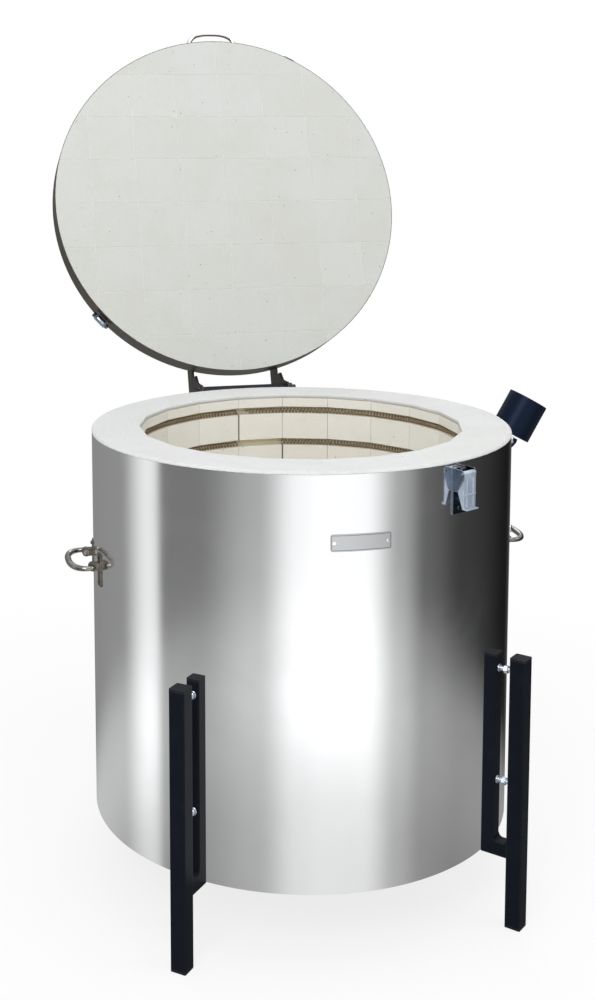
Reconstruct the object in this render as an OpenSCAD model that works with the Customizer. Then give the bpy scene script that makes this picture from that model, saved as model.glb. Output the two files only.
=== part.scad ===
// Round top-loading electric kiln, lid open.
// Origin on the floor under the middle of the body, +Z up, front towards -Y.

/* [Body] */
// Outer diameter of the steel jacket
jacket_d = 810; // [760:1:860]
// Height of the steel jacket
jacket_h = 740; // [680:1:800]
// Thickness of the jacket sheet
jacket_t = 1.2; // [0.8:0.1:2]
// Height of the jacket's lower edge above the floor
ground_clear = 130; // [100:1:160]
// How far the rim stands above the jacket
rim_rise = 6; // [3:0.5:7]

/* [Insulation] */
// Number of flat sides of the chamber
facets = 20; // [16:2:24]
// Chamber width between opposite flat sides
chamber_af = 618; // [580:1:640]
// Open joint between two bricks
brick_joint = 0.6; // [0.4:0.1:1]
// Thickness of the fibre blanket behind the bricks
blanket_t = 24; // [15:1:30]
// Thickness of the smooth coat on the rim
rim_coat_t = 8; // [7.5:0.5:12]
// Radius of the rim's worn outer edge
rim_edge_r = 3; // [1:0.5:3]
// Thickness of the brick floor
slab_t = 76; // [60:1:90]
// Thickness of the board under the brick floor
board_t = 30; // [20:1:40]
// Thickness of the base pan
pan_t = 2; // [1:0.5:3]
// Height of the base pan's turned-up edge
pan_lip = 25; // [15:1:40]

/* [Heating] */
// Height of a coil groove
groove_h = 15; // [14:0.5:20]
// Depth of a coil groove
groove_d = 20; // [18:0.5:24]
// Distance from a brick's top to the middle of its first groove
groove_drop = 26.5; // [22:0.5:32]
// Outer diameter of a heating coil
coil_od = 11; // [8:0.5:12]
// Diameter of the heating wire
wire_d = 2.2; // [1.5:0.1:2.8]
// Turns modelled on the top coil
coil_turns = 90; // [40:1:90]
// Angle between the two ends of an odd-numbered coil
lead_gap_odd = 4; // [3.5:0.5:8]
// Angle between the two ends of an even-numbered coil
lead_gap_even = 18; // [12:0.5:18]
// Outer diameter of a ceramic lead sleeve
sleeve_d = 10; // [8:0.5:12]
// How far a sleeve stands out behind the jacket
sleeve_out = 14; // [8:1:20]

/* [Lid] */
// Thickness of the brick lid
lid_t = 62; // [50:1:76]
// Distance between the brick joints on the lid's hot face
lid_brick = 106; // [90:1:120]
// Thickness of the lid's steel sheet
lid_sheet_t = 1.2; // [0.8:0.1:2]
// Gap between the closed lid and the rim
lid_gap = 0.5; // [0.4:0.1:2]
// Angle that the lid opens
lid_open = 110; // [90:1:112]
// Span of the lid handle
lid_handle_w = 124; // [100:1:150]
// How far the lid handle stands out
lid_handle_out = 38; // [34:1:50]
// Diameter of the lid handle's rod
lid_handle_d = 10; // [8:0.5:12]
// Angle of the band clamp round the lid
clamp_az = -131; // [-150:1:-110]

/* [Hinge] */
// Distance from the jacket to the hinge pin
hinge_off = 50; // [46:1:60]
// Depth of the hinge pin below the rim
hinge_drop = 16; // [14:1:18]
// Diameter of the hinge pin
hinge_pin_d = 12; // [10:0.5:14]
// Distance between the two hinge arms
arm_gap = 200; // [190:1:210]
// Thickness of a hinge arm
arm_t = 5; // [4:0.5:6]
// Height of a hinge arm above the lid
arm_h = 52; // [40:1:60]
// Length of a hinge arm over the lid
arm_reach = 170; // [120:1:220]
// Thickness of the hinge base sheet
base_t = 4; // [3:0.5:5]
// Depth of the hinge base shelf behind the jacket
shelf_d = 84; // [60:1:100]

/* [Latch] */
// Angle of the latch round the body
latch_az = 27; // [15:1:35]
// Height of the latch body
latch_h = 82; // [76:1:90]
// Width of the latch body
latch_w = 34; // [30:1:40]
// Gap from the latch's top to the jacket's top edge
latch_drop = 8; // [7:1:20]
// How far the lever pivot stands off the jacket
latch_off = 20; // [18:1:24]
// Diameter of the latch pivot pin
latch_pin_d = 5; // [4:0.5:6]

/* [Side handles] */
// Height of the side handles above the floor
handle_z = 632; // [560:1:660]
// Distance between the eyes of a side handle
handle_eye_gap = 98; // [80:1:120]
// Reach of a side handle
handle_reach = 46; // [40:1:60]
// Diameter of a side handle's rod
handle_rod_d = 9.2; // [7:0.1:11]
// Distance from the jacket to a side handle's pivot
handle_off = 11; // [10:0.5:14]

/* [Legs] */
// Angle of the front legs from the front
leg_az = 41; // [35:1:50]
// Height of the legs
leg_h = 507; // [440:1:560]
// Width of the outer post
post_w = 30; // [25:1:40]
// Width of the inner tube
brace_w = 25; // [20:1:30]
// Gap between the inner tube and the outer post
leg_gap = 26; // [24:1:40]
// Wall of the leg tubes
tube_wall = 2; // [1.5:0.5:3]
// Radius of the tube corners
tube_r = 2.5; // [1:0.5:4]
// Inner radius where the tubes meet
leg_fillet = 8; // [4:1:12]
// Diameter of the leg bolts
leg_bolt_d = 8; // [6:1:10]
// Depth of the upper bolt below the leg's top
leg_bolt_top = 28; // [20:1:60]
// Distance between the two bolts of a leg
leg_bolt_pitch = 210; // [150:1:240]

/* [Vent tube] */
// Outer diameter of the vent tube
vent_d = 80; // [60:1:90]
// Wall of the vent tube
vent_wall = 2; // [1.5:0.5:4]
// Length of the vent tube
vent_len = 78; // [60:1:100]
// Lean of the vent tube from upright
vent_lean = 30; // [20:1:40]
// Height of the vent tube's middle below the rim
vent_drop = 7; // [0:1:20]
// Angle of the vent tube round the body
vent_az = 90; // [80:1:100]

/* [Fittings] */
// Width of the nameplate
plate_w = 90; // [70:1:120]
// Height of the nameplate
plate_h = 25; // [20:1:40]
// Height of the nameplate's middle above the floor
plate_z = 757; // [650:1:780]
// Width of the terminal cover
box_w = 170; // [150:1:178]
// Depth of the terminal cover behind the jacket
box_d = 85; // [70:1:110]
// Height of the terminal cover's lower edge above the jacket's
box_rise = 120; // [90:1:140]
// Sheet of the terminal cover
box_t = 1.5; // [1:0.5:2.5]

/* [Hidden] */
$fn = 96;
// Brick courses of the wall, one node each
courses = 3;
// Coil grooves in each course
grooves_per_course = 3;
// Gap between fixed pieces that lie against each other
seat = 0.1;
// Gap round a loose piece in its hole
loose = 0.3;
// Radial clearance of a turning pin
run = 0.05;

jacket_r = jacket_d / 2;
jacket_top = ground_clear + jacket_h;
rim_z = jacket_top + rim_rise;
jacket_in = jacket_r - jacket_t;
brick_r = jacket_in - seat - blanket_t - seat;
rin = chamber_af / 2;
half_facet = 180 / facets;
pan_top = ground_clear + pan_t;
board_top = pan_top + board_t;
slab_top = board_top + slab_t;
wall_top = rim_z - rim_coat_t;
course_h = (wall_top - slab_top) / courses;
groove_pitch = course_h / grooves_per_course;
corner_r = rin / cos(half_facet);
coil_r = corner_r + 1 + coil_od / 2;
groove_back = rin + groove_d;
back_az = 180;
lead_az = back_az + half_facet;
hinge_y = jacket_r + hinge_off;
hinge_z = rim_z - hinge_drop;
lid_z = rim_z + lid_gap;
lid_top = lid_z + lid_t + lid_sheet_t;
box_z = ground_clear + box_rise;
strip_h = 18;
strip_top = rim_z - 8;
lug_drop = 94;
box_top = strip_top - strip_h - 0.5;

function groove_z(i) = let (c = floor(i / grooves_per_course), g = i - c * grooves_per_course)
    wall_top - c * course_h - groove_drop - g * groove_pitch;
function coil_z(i) = groove_z(i) - groove_h / 2 + coil_od / 2 + 0.2;
function lead_gap(i) = i % 2 == 0 ? lead_gap_odd : lead_gap_even;

// A piece made at the front, turned to an angle round the body
module at_az(a) rotate([0, 0, a]) children();

// A ring round the body's axis
module ring(r_in, r_out, z, h) {
    translate([0, 0, z]) difference() {
        cylinder(r = r_out, h = h);
        translate([0, 0, -1]) cylinder(r = r_in, h = h + 2);
    }
}

// A curved plate on a round wall, centred at the front
module saddle(r_in, r_out, half_angle, z, h) {
    translate([0, 0, z]) rotate([0, 0, -90 - half_angle])
        rotate_extrude(angle = 2 * half_angle) translate([r_in, 0]) square([r_out - r_in, h]);
}

// A straight rod between two points
module rod(a, b, d) {
    v = b - a;
    len = norm(v);
    translate(a) rotate([0, acos(v[2] / len), atan2(v[1], v[0])]) cylinder(d = d, h = len);
}

// A quarter bend in the plane of its own X and Y
module bend(r, d) rotate_extrude(angle = 90) translate([r, 0]) circle(d = d);

// A square tube with round edges, upright
module post(w, h, r) {
    union() {
        translate([-w / 2 + r, -w / 2, 0]) cube([w - 2 * r, w, h]);
        translate([-w / 2, -w / 2 + r, 0]) cube([w, w - 2 * r, h]);
        for (sx = [-1, 1], sy = [-1, 1])
            translate([sx * (w / 2 - r), sy * (w / 2 - r), 0]) cylinder(r = r, h = h, $fn = 32);
    }
}

// A domed screw head on the front wall
module dome(r_wall, z, d, h) {
    translate([0, -r_wall, z]) rotate([90, 0, 0]) intersection() {
        cylinder(d = d, h = h, $fn = 32);
        translate([0, 0, h - d * 0.62]) sphere(r = d * 0.62, $fn = 32);
    }
}

// Holes for the coil leads, the thermocouple and the sleeves
module lead_holes(extra) {
    for (i = [0 : courses * grooves_per_course - 1], a = [lead_az, lead_az - lead_gap(i)])
        at_az(a) translate([0, 0, coil_z(i)]) rotate([90, 0, 0])
            translate([0, 0, rin - 5]) cylinder(d = sleeve_d + 2 * extra, h = jacket_r - rin + 10);
    at_az(probe_az) translate([0, 0, probe_z]) rotate([90, 0, 0])
        translate([0, 0, rin - 5]) cylinder(d = probe_d + 2 * extra, h = jacket_r - rin + 10);
}

probe_az = back_az - 1.5 * half_facet / 9 * 2;
probe_d = 8;
probe_z = (groove_z(grooves_per_course) + groove_z(grooves_per_course + 1)) / 2;

module jacket() color("silver") difference() {
    ring(jacket_in, jacket_r, ground_clear, jacket_h);
    lead_holes(loose);
}

jacket_bolt_az = 68;
jacket_bolt_drop = [14, 187];
module jacket_bolts() color("silver")
    for (d = jacket_bolt_drop) at_az(jacket_bolt_az) dome(jacket_r + seat, jacket_top - d, 15, 5);

module base_pan() color("dimgray") union() {
    translate([0, 0, ground_clear]) cylinder(r = jacket_in - seat, h = pan_t);
    ring(jacket_in - seat - pan_t, jacket_in - seat, ground_clear, pan_lip);
}

module floor_board() color("lightgray")
    translate([0, 0, pan_top]) cylinder(r = brick_r, h = board_t);

module floor_slab() color("wheat")
    translate([0, 0, board_top]) cylinder(r = brick_r, h = slab_t);

module fibre_blanket() color("white") difference() {
    ring(brick_r + seat, jacket_in - seat, pan_top, wall_top - pan_top);
    ring(jacket_in - 2 * seat - pan_t, jacket_r, ground_clear, pan_lip + seat);
    lead_holes(loose);
}

// One wedge brick with its coil grooves, at the front
module brick() {
    side = tan(half_facet);
    cut = brick_joint / 2 / cos(half_facet);
    difference() {
        intersection() {
            cylinder(r = brick_r, h = course_h);
            linear_extrude(course_h) polygon([
                [-(rin * side - cut), -rin], [rin * side - cut, -rin],
                [jacket_d * side - cut, -jacket_d], [-(jacket_d * side - cut), -jacket_d]]);
        }
        for (g = [0 : grooves_per_course - 1])
            translate([-rin, -groove_back, course_h - groove_drop - g * groove_pitch - groove_h / 2])
                cube([2 * rin, groove_d + 1, groove_h]);
    }
}

module wall_course(c) color("cornsilk") difference() {
    translate([0, 0, wall_top - (c + 1) * course_h])
        for (i = [0 : facets - 1]) at_az(i * 360 / facets) brick();
    lead_holes(loose);
}
module wall_course_top() wall_course(0);
module wall_course_middle() wall_course(1);
module wall_course_bottom() wall_course(courses - 1);

module rim_coat() color("whitesmoke") difference() {
    translate([0, 0, wall_top]) rotate_extrude() difference() {
        union() {
            square([jacket_in - loose - rim_edge_r, rim_coat_t]);
            square([jacket_in - loose, rim_coat_t - rim_edge_r]);
            translate([jacket_in - loose - rim_edge_r, rim_coat_t - rim_edge_r]) circle(r = rim_edge_r);
        }
        translate([0, -rim_edge_r]) square([jacket_r, rim_edge_r]);
    }
    translate([0, 0, wall_top - 1]) linear_extrude(rim_coat_t + 2) polygon([
        for (i = [0 : facets - 1]) let (a = i * 360 / facets + half_facet - 90)
            corner_r * [cos(a), sin(a)]]);
}

// Angle of a coil at a share of its run, with the front at -90 degrees
function coil_angle(i, t) = lead_az - 90 - lead_gap(i) - t * (360 - lead_gap(i));

// Point on the wire of the wound coil
function curl_point(i, t) = let (
    a = coil_angle(i, t), turn = 360 * coil_turns * t, m = (coil_od - wire_d) / 2,
    r = coil_r + m * cos(turn))
    [r * cos(a), r * sin(a), coil_z(i) + m * sin(turn)];

// Ends of the wire, straight out to the sleeves
function lead_point(i, t, r) = let (a = coil_angle(i, t)) [r * cos(a), r * sin(a), coil_z(i)];

rings_per_turn = 8;
wire_sides = 6;
lead_end = groove_back - 0.4;

function wire_path(i) = let (n = coil_turns * rings_per_turn) concat(
    [lead_point(i, 0, lead_end)],
    [for (k = [0 : n]) curl_point(i, k / n)],
    [lead_point(i, 1, lead_end)]);

function unit(v) = v / norm(v);
function wire_ring(path, k) = let (
    n = len(path) - 1,
    tangent = unit(path[min(k + 1, n)] - path[max(k - 1, 0)]),
    up = abs(tangent[2]) > 0.9 ? unit([path[k][0], path[k][1], 0]) : [0, 0, 1],
    u = unit(cross(up, tangent)), v = cross(tangent, u))
    [for (s = [0 : wire_sides - 1]) path[k]
        + wire_d / 2 * (cos(360 * s / wire_sides) * u + sin(360 * s / wire_sides) * v)];

// Least gap between one turn of the wound coil and the next
function turn_gap(i) = let (n = coil_turns * rings_per_turn) min([
    for (k = [0 : rings_per_turn], j = [k + rings_per_turn / 2 : k + 2 * rings_per_turn])
        norm(curl_point(i, k / n) - curl_point(i, j / n))]) - wire_d;

module wound_coil(i) {
    path = wire_path(i);
    n = len(path);
    m = wire_sides;
    points = [for (k = [0 : n - 1]) each wire_ring(path, k)];
    sides = [for (k = [0 : n - 2], s = [0 : m - 1]) let (
        a = k * m + s, b = k * m + (s + 1) % m, c = a + m, d = b + m) each [[a, b, d], [a, d, c]]];
    first = [for (s = [1 : m - 2]) [0, s + 1, s]];
    last = [for (s = [1 : m - 2]) [(n - 1) * m, (n - 1) * m + s, (n - 1) * m + s + 1]];
    echo(least_gap_between_turns = turn_gap(i));
    polyhedron(points = points, faces = concat(sides, first, last), convexity = 10);
}

// Outer form of a coil with its two straight leads
module plain_coil(i) {
    translate([0, 0, coil_z(i)]) union() {
        rotate([0, 0, coil_angle(i, 1)]) rotate_extrude(angle = 360 - lead_gap(i))
            translate([coil_r, 0]) circle(d = coil_od, $fn = 32);
        for (t = [0, 1]) rotate([0, 0, coil_angle(i, t)]) translate([coil_r, 0, 0])
            rotate([0, 90, 0]) cylinder(d = wire_d, h = lead_end - coil_r, $fn = 24);
    }
}

module heating_coil(i) color("saddlebrown") {
    if (i == 0) wound_coil(i);
    else plain_coil(i);
}

module lead_sleeves() color("ivory")
    for (i = [0 : courses * grooves_per_course - 1], a = [lead_az, lead_az - lead_gap(i)])
        at_az(a) translate([0, 0, coil_z(i)]) rotate([90, 0, 0]) difference() {
            translate([0, 0, groove_back]) cylinder(d = sleeve_d, h = jacket_r + sleeve_out - groove_back);
            translate([0, 0, groove_back - 1]) cylinder(d = wire_d + 2, h = jacket_r);
        }

block_t = 12;
block_w = 150;
module terminal_block() color("ivory") difference() {
    translate([-block_w / 2, jacket_r + sleeve_out + loose, coil_z(courses * grooves_per_course - 1) - 15])
        cube([block_w, block_t, coil_z(0) - coil_z(courses * grooves_per_course - 1) + 20]);
    for (i = [0 : courses * grooves_per_course - 1], a = [lead_az, lead_az - lead_gap(i)])
        at_az(a) translate([0, 0, coil_z(i)]) rotate([90, 0, 0])
            translate([0, 0, jacket_r]) cylinder(d = wire_d + 2, h = box_d);
    at_az(probe_az) translate([0, 0, probe_z]) rotate([90, 0, 0])
        translate([0, 0, jacket_r]) cylinder(d = probe_head_d + 2, h = box_d);
}

slot_count = 6;
slot_h = 6;
slot_w = 100;
box_flange = 14;
flange_half_az = asin((box_flange + box_t / 2) / 2 / jacket_r);
flange_az = asin((box_w / 2 + (box_flange - box_t / 2) / 2) / jacket_r);
flange_top = strip_top - lug_drop - 5;
gland_bore = 20;
module terminal_cover() color("dimgray") difference() {
    union() {
        difference() {
            translate([-box_w / 2, 0, box_z]) cube([box_w, jacket_r + box_d, box_top - box_z]);
            translate([-box_w / 2 + box_t, -1, box_z + box_t])
                cube([box_w - 2 * box_t, jacket_r + box_d + 1 - box_t, box_top - box_z - 2 * box_t]);
        }
        for (s = [-1, 1]) at_az(back_az + s * flange_az)
            saddle(jacket_r - 1, jacket_r + seat + box_t, flange_half_az, box_z + 4, flange_top - box_z - 4);
    }
    translate([0, 0, box_z - 50]) cylinder(r = jacket_r + seat, h = box_top - box_z + 100);
    for (k = [0 : slot_count - 1], s = [0, 1])
        translate([-slot_w / 2, jacket_r + box_d - 5, (s == 0 ? box_z + 40 : box_top - 40 - slot_count * 3 * slot_h)
            + k * 3 * slot_h]) cube([slot_w, 10, slot_h]);
    translate([gland_x, jacket_r + box_d / 2, box_z - 1]) cylinder(d = gland_bore, h = 10);
}

module cover_screws() color("silver")
    for (s = [-1, 1], k = [0 : 2]) at_az(back_az + s * asin((box_w / 2 + box_flange / 2) / jacket_r))
        dome(jacket_r + 2 * seat + box_t, box_z + 20 + k * (flange_top - box_z - 40) / 2, 8, 3);

gland_x = 40;
module cable_gland() color("black") translate([gland_x, jacket_r + box_d / 2, box_z]) difference() {
    union() {
        translate([0, 0, -4 - seat]) cylinder(d = 30, h = 4, $fn = 6);
        translate([0, 0, -20]) cylinder(d = 24, h = 18);
        translate([0, 0, -6]) cylinder(d = gland_bore - 2 * seat, h = 6 + box_t + 8);
        translate([0, 0, box_t + seat]) cylinder(d = 28, h = 5, $fn = 6);
    }
    translate([0, 0, -30]) cylinder(d = 12, h = 60);
}

probe_head_d = 22;
probe_in = 40;
module thermocouple() color("ivory") at_az(probe_az) translate([0, 0, probe_z]) rotate([90, 0, 0]) union() {
    translate([0, 0, rin - probe_in]) cylinder(d = probe_d, h = jacket_r + seat - rin + probe_in + 1);
    translate([0, 0, jacket_r + seat]) cylinder(d = probe_head_d, h = sleeve_out + block_t + 6);
    translate([0, 0, rin - probe_in]) sphere(d = probe_d);
}

brace_y = -(jacket_r + loose + brace_w / 2);
post_y = -(jacket_r + loose + brace_w + leg_gap + post_w / 2);
cap_t = 4;
bolt_z = [leg_h - leg_bolt_top, leg_h - leg_bolt_top - leg_bolt_pitch];

// A leg at the front: outer post, inner tube and the bar between them
module leg() color("#15181f") difference() {
    union() {
        translate([0, post_y, cap_t]) post(post_w, leg_h - 2 * cap_t, tube_r);
        translate([0, brace_y, ground_clear]) post(brace_w, leg_h - cap_t - ground_clear, tube_r);
        translate([-brace_w / 2, post_y, ground_clear]) cube([brace_w, brace_y - post_y, brace_w]);
        for (s = [0, 1]) translate([0, s == 0 ? brace_y - brace_w / 2 : post_y + post_w / 2, ground_clear + brace_w])
            rotate([90, 0, 90]) mirror([1 - s, 0, 0]) translate([0, 0, -brace_w / 2]) difference() {
                translate([-1, -1, 0]) cube([leg_fillet + 1, leg_fillet + 1, brace_w]);
                translate([leg_fillet, leg_fillet, -1]) cylinder(r = leg_fillet, h = brace_w + 2, $fn = 48);
            }
    }
    translate([0, post_y, 0]) post(post_w - 2 * tube_wall, leg_h + 1, tube_r / 2);
    translate([0, brace_y, ground_clear + tube_wall]) post(brace_w - 2 * tube_wall, leg_h, tube_r / 2);
    for (z = bolt_z) translate([0, -jacket_r, z]) rotate([90, 0, 0])
        cylinder(d = leg_bolt_d + 2 * loose, h = brace_w + 1 + leg_gap / 2);
}
module leg_front_left() at_az(-leg_az) leg();
module leg_front_right() at_az(leg_az) leg();
module leg_rear_left() at_az(leg_az - 180) leg();
module leg_rear_right() at_az(180 - leg_az) leg();
module each_leg() for (a = [-leg_az, leg_az, leg_az - 180, 180 - leg_az]) at_az(a) children();

// A plug for a tube's end: a flat top and a stem inside the tube
module plug(w, depth) union() {
    post(w, cap_t, tube_r);
    translate([0, 0, -depth]) post(w - 2 * tube_wall - 2 * seat, depth + 1, tube_r / 2);
}
plug_depth = 15;
module leg_caps() color("#1a1c20") each_leg() {
    translate([0, post_y, leg_h - cap_t]) plug(post_w, plug_depth);
    translate([0, brace_y, leg_h - cap_t]) plug(brace_w, plug_depth);
}
module foot_caps() color("#1a1c20") each_leg()
    translate([0, post_y, cap_t]) mirror([0, 0, 1]) plug(post_w, plug_depth);

nut_w = 15;
nut_t = 6.5;
module leg_bolts() color("silver") each_leg() for (z = bolt_z)
    translate([0, -(jacket_r + loose), z]) rotate([90, 0, 0]) union() {
        translate([0, 0, seat]) cylinder(d = leg_bolt_d, h = brace_w + leg_gap - 2 * seat);
        translate([0, 0, brace_w + seat]) cylinder(d = leg_bolt_d + 6, h = 2);
        translate([0, 0, brace_w + leg_gap * 0.42]) cylinder(d = nut_w, h = nut_t, $fn = 6);
        translate([0, 0, brace_w + leg_gap - seat - 3]) cylinder(d1 = leg_bolt_d, d2 = nut_w, h = 3);
    }

lug_t = 6;
lug_x = arm_gap / 2 + arm_t / 2 + loose + 1;
eye_r = hinge_pin_d / 2 + 11;
side_az = asin((lug_x + lug_t + 12) / jacket_r);
inner_az = asin((box_w / 2 + 3) / jacket_r);

// Bracket on the jacket's back: curved plates, a shelf and two lugs for the pin
module hinge_base() color("slategray") difference() {
    union() {
        difference() {
            at_az(back_az) saddle(jacket_r - 2, jacket_r + seat + base_t, side_az, strip_top - lug_drop, lug_drop);
            translate([-(box_w / 2 + 3), 0, strip_top - lug_drop - 1])
                cube([box_w + 6, jacket_d, lug_drop - strip_h + 1]);
        }
        translate([-(arm_gap / 2 - arm_t / 2 - 2.5), jacket_r * 0.9, strip_top - 1 - base_t])
            cube([arm_gap - arm_t - 5, jacket_r * 0.1 + shelf_d, base_t]);
        for (s = [-1, 1]) lug(s * (lug_x + lug_t / 2));
    }
    translate([0, 0, strip_top - 2 * lug_drop]) cylinder(r = jacket_r + seat, h = 3 * lug_drop);
    translate([0, hinge_y, hinge_z]) rotate([0, 90, 0])
        cylinder(d = hinge_pin_d + 2 * seat, h = 2 * (lug_x + 2 * lug_t), center = true);
}

// One lug of the hinge base, from the curved plate to the pin
module lug(x) translate([x - lug_t / 2, 0, 0]) rotate([90, 0, 90]) linear_extrude(lug_t) union() {
    translate([hinge_y, hinge_z]) circle(r = eye_r - 3);
    polygon([[jacket_r * 0.9, strip_top - 2], [hinge_y, hinge_z + eye_r - 6], [hinge_y + eye_r - 6, hinge_z],
        [hinge_y + eye_r - 9, hinge_z - 9], [jacket_r * 0.9, strip_top - lug_drop + 2]]);
}

pin_knob_d = 20;
pin_knob_t = 8;
module hinge_pin() color("#222222") translate([0, hinge_y, hinge_z]) rotate([0, 90, 0]) union() {
    cylinder(d = hinge_pin_d, h = 2 * (lug_x + lug_t + 3), center = true);
    for (s = [0, 1]) mirror([0, 0, s]) translate([0, 0, lug_x + lug_t + loose])
        cylinder(d = pin_knob_d, h = pin_knob_t);
}

// The lid and what is fixed to it, swung open about the hinge pin
module lid_open_pose() translate([0, hinge_y, hinge_z]) rotate([-lid_open, 0, 0])
    translate([0, -hinge_y, -hinge_z]) children();

arm_foot = 24;
arm_top = lid_top + seat + arm_h;
arm_start = jacket_r - arm_reach;
// Outline of a hinge arm, seen from the side, lid closed
module arm_outline() union() {
    translate([hinge_y, hinge_z]) circle(r = eye_r);
    polygon([[arm_start, lid_top + seat], [jacket_r + 3, lid_top + seat], [jacket_r + 3, lid_z + lid_t / 2],
        [hinge_y - eye_r - 10, lid_z + 14], [hinge_y - eye_r, hinge_z], [hinge_y + eye_r, hinge_z],
        [hinge_y + eye_r + 4, lid_z + 30], [hinge_y - 8, arm_top], [arm_start + arm_h / 2, arm_top]]);
}
module hinge_arm(s) color("#4a443c") lid_open_pose() difference() {
    union() {
        translate([s * arm_gap / 2 - arm_t / 2, 0, 0]) rotate([90, 0, 90]) linear_extrude(arm_t) arm_outline();
        translate([s > 0 ? arm_gap / 2 - arm_t / 2 : -arm_gap / 2 + arm_t / 2 - arm_foot, arm_start, lid_top + seat])
            cube([arm_foot, arm_reach - 40, arm_t]);
    }
    translate([s * arm_gap / 2 - arm_t, hinge_y, hinge_z]) rotate([0, 90, 0])
        cylinder(d = hinge_pin_d + 2 * run, h = 2 * arm_t);
}
module hinge_arm_left() hinge_arm(-1);
module hinge_arm_right() hinge_arm(1);

module arm_screws() color("silver") lid_open_pose()
    for (s = [-1, 1], y = [arm_start + 20, arm_start + arm_reach - 60])
        translate([s * (arm_gap / 2 + arm_foot / 2 + 2), y, lid_top + seat + arm_t + seat])
            cylinder(d = 13, h = 5.5, $fn = 6);

band_r = jacket_r - 0.2;
slab_r = band_r - lid_sheet_t - seat;
joint_w = 1.2;
joint_deep = 1;
joint_n = floor(slab_r / lid_brick);
// Lid of cemented bricks, with their joints on its hot face
module lid_slab() color("ivory") lid_open_pose() translate([0, 0, lid_z]) difference() {
    cylinder(r = slab_r, h = lid_t);
    for (k = [-joint_n : joint_n], turn = [0, 90]) rotate([0, 0, turn])
        translate([k * lid_brick - joint_w / 2, -slab_r - 1, -1]) cube([joint_w, 2 * slab_r + 2, 1 + joint_deep]);
}

module lid_band() color("#8a8378") lid_open_pose()
    ring(band_r - lid_sheet_t, band_r, lid_z, lid_t + lid_sheet_t);

module lid_cover() color("silver") lid_open_pose()
    translate([0, 0, lid_z + lid_t]) cylinder(r = band_r - lid_sheet_t - seat, h = lid_sheet_t);

clamp_w = 14;
clamp_out = 15;
clamp_gap = 22;
clamp_screw_d = 6;
// Screw clamp that draws the lid's band tight
module band_clamp() color("silver") lid_open_pose() at_az(clamp_az)
    translate([0, -(band_r + seat), lid_z + lid_t / 2]) union() {
        for (s = [-1, 1])
            translate([s * (clamp_gap / 2 + 2) - 2, -clamp_out, -clamp_w / 2]) cube([4, clamp_out, clamp_w]);
        translate([-clamp_gap / 2 - 12, -clamp_out * 0.6, 0]) rotate([0, 90, 0])
            cylinder(d = clamp_screw_d, h = clamp_gap + 24);
        translate([clamp_gap / 2 + 4, -clamp_out * 0.6, 0]) rotate([0, 90, 0]) cylinder(d = 12, h = 8, $fn = 6);
        translate([-clamp_gap / 2 - 10, -clamp_out * 0.6, 0]) rotate([0, 90, 0]) cylinder(d = 11, h = 6, $fn = 6);
    }

bow_r = 24;
// Bow handle on the lid's front edge, its ends on round feet
module lid_handle() color("silver") lid_open_pose() translate([0, -band_r, lid_z + lid_t / 2]) {
    half = lid_handle_w / 2 - lid_handle_d / 2;
    foot_y = band_r - sqrt(band_r * band_r - half * half);
    out = lid_handle_out - lid_handle_d / 2;
    union() {
        for (s = [-1, 1]) {
            difference() {
                union() {
                    translate([s * half, foot_y + 4, 0]) rotate([90, 0, 0])
                        cylinder(d = lid_handle_d, h = foot_y + 4 + out - bow_r);
                    translate([s * half, foot_y + 4, 0]) rotate([90, 0, 0]) cylinder(d = lid_handle_d + 7, h = 7);
                }
                translate([0, band_r, -lid_t]) cylinder(r = band_r + seat, h = 2 * lid_t);
            }
            translate([s * (half - bow_r), bow_r - out, 0]) rotate([0, 0, s > 0 ? -90 : 180])
                bend(bow_r, lid_handle_d, $fn = 48);
        }
        translate([0, -out, 0]) rotate([0, 90, 0])
            cylinder(d = lid_handle_d, h = 2 * (half - bow_r), center = true, $fn = 48);
    }
}

keeper_w = 26;
// Catch plate for the latch claw, on the lid's edge
module lid_keeper() color("silver") lid_open_pose() at_az(latch_az) translate([0, -(band_r + seat), lid_z]) union() {
    translate([-keeper_w / 2, -2, 4]) cube([keeper_w, 2, 34]);
    translate([-keeper_w / 2, -9, 14]) cube([keeper_w, 8, 2]);
    translate([-keeper_w / 2, -9, 14]) cube([keeper_w, 2, 8]);
    for (s = [-1, 1]) translate([s * keeper_w / 4, -1.5, 30]) rotate([90, 0, 0]) cylinder(d = 6, h = 2.5, $fn = 32);
}

latch_top = jacket_top - latch_drop;
latch_bottom = latch_top - latch_h;
cheek_t = 2;
cheek_h = 40;
pivot_z = latch_top - 8;
lever_in = latch_w / 2 - cheek_t - 0.4;
claw_pivot = [-9, -18];
claw_w = 14;
claw_pin_d = 4;
lever_t = 2;

module at_latch() at_az(latch_az) translate([0, -(jacket_r + seat), 0]) children();

// A plate of the latch in the plane across the body's wall
module side_plate(x, t) translate([x, 0, 0]) rotate([90, 0, -90]) mirror([0, 0, 1]) linear_extrude(t) children();

module latch_base() color("#9fb0c8") at_latch() union() {
    translate([-latch_w / 2, -2, latch_bottom]) cube([latch_w, 2, latch_h]);
    for (x = [-latch_w / 2, latch_w / 2 - cheek_t]) side_plate(x, cheek_t) polygon([
        [0, latch_top - cheek_h], [0, latch_top], [latch_off, latch_top], [latch_off + 5, pivot_z],
        [latch_off + 3, pivot_z - 10], [10, latch_top - cheek_h]]);
    translate([0, -latch_off, pivot_z]) rotate([0, 90, 0])
        cylinder(d = latch_pin_d, h = latch_w + 4, center = true, $fn = 48);
    for (z = [latch_bottom + 10, latch_bottom + 26]) translate([0, -1.5, z]) rotate([90, 0, 0])
        cylinder(d = 8, h = 2.5, $fn = 32);
}

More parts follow.
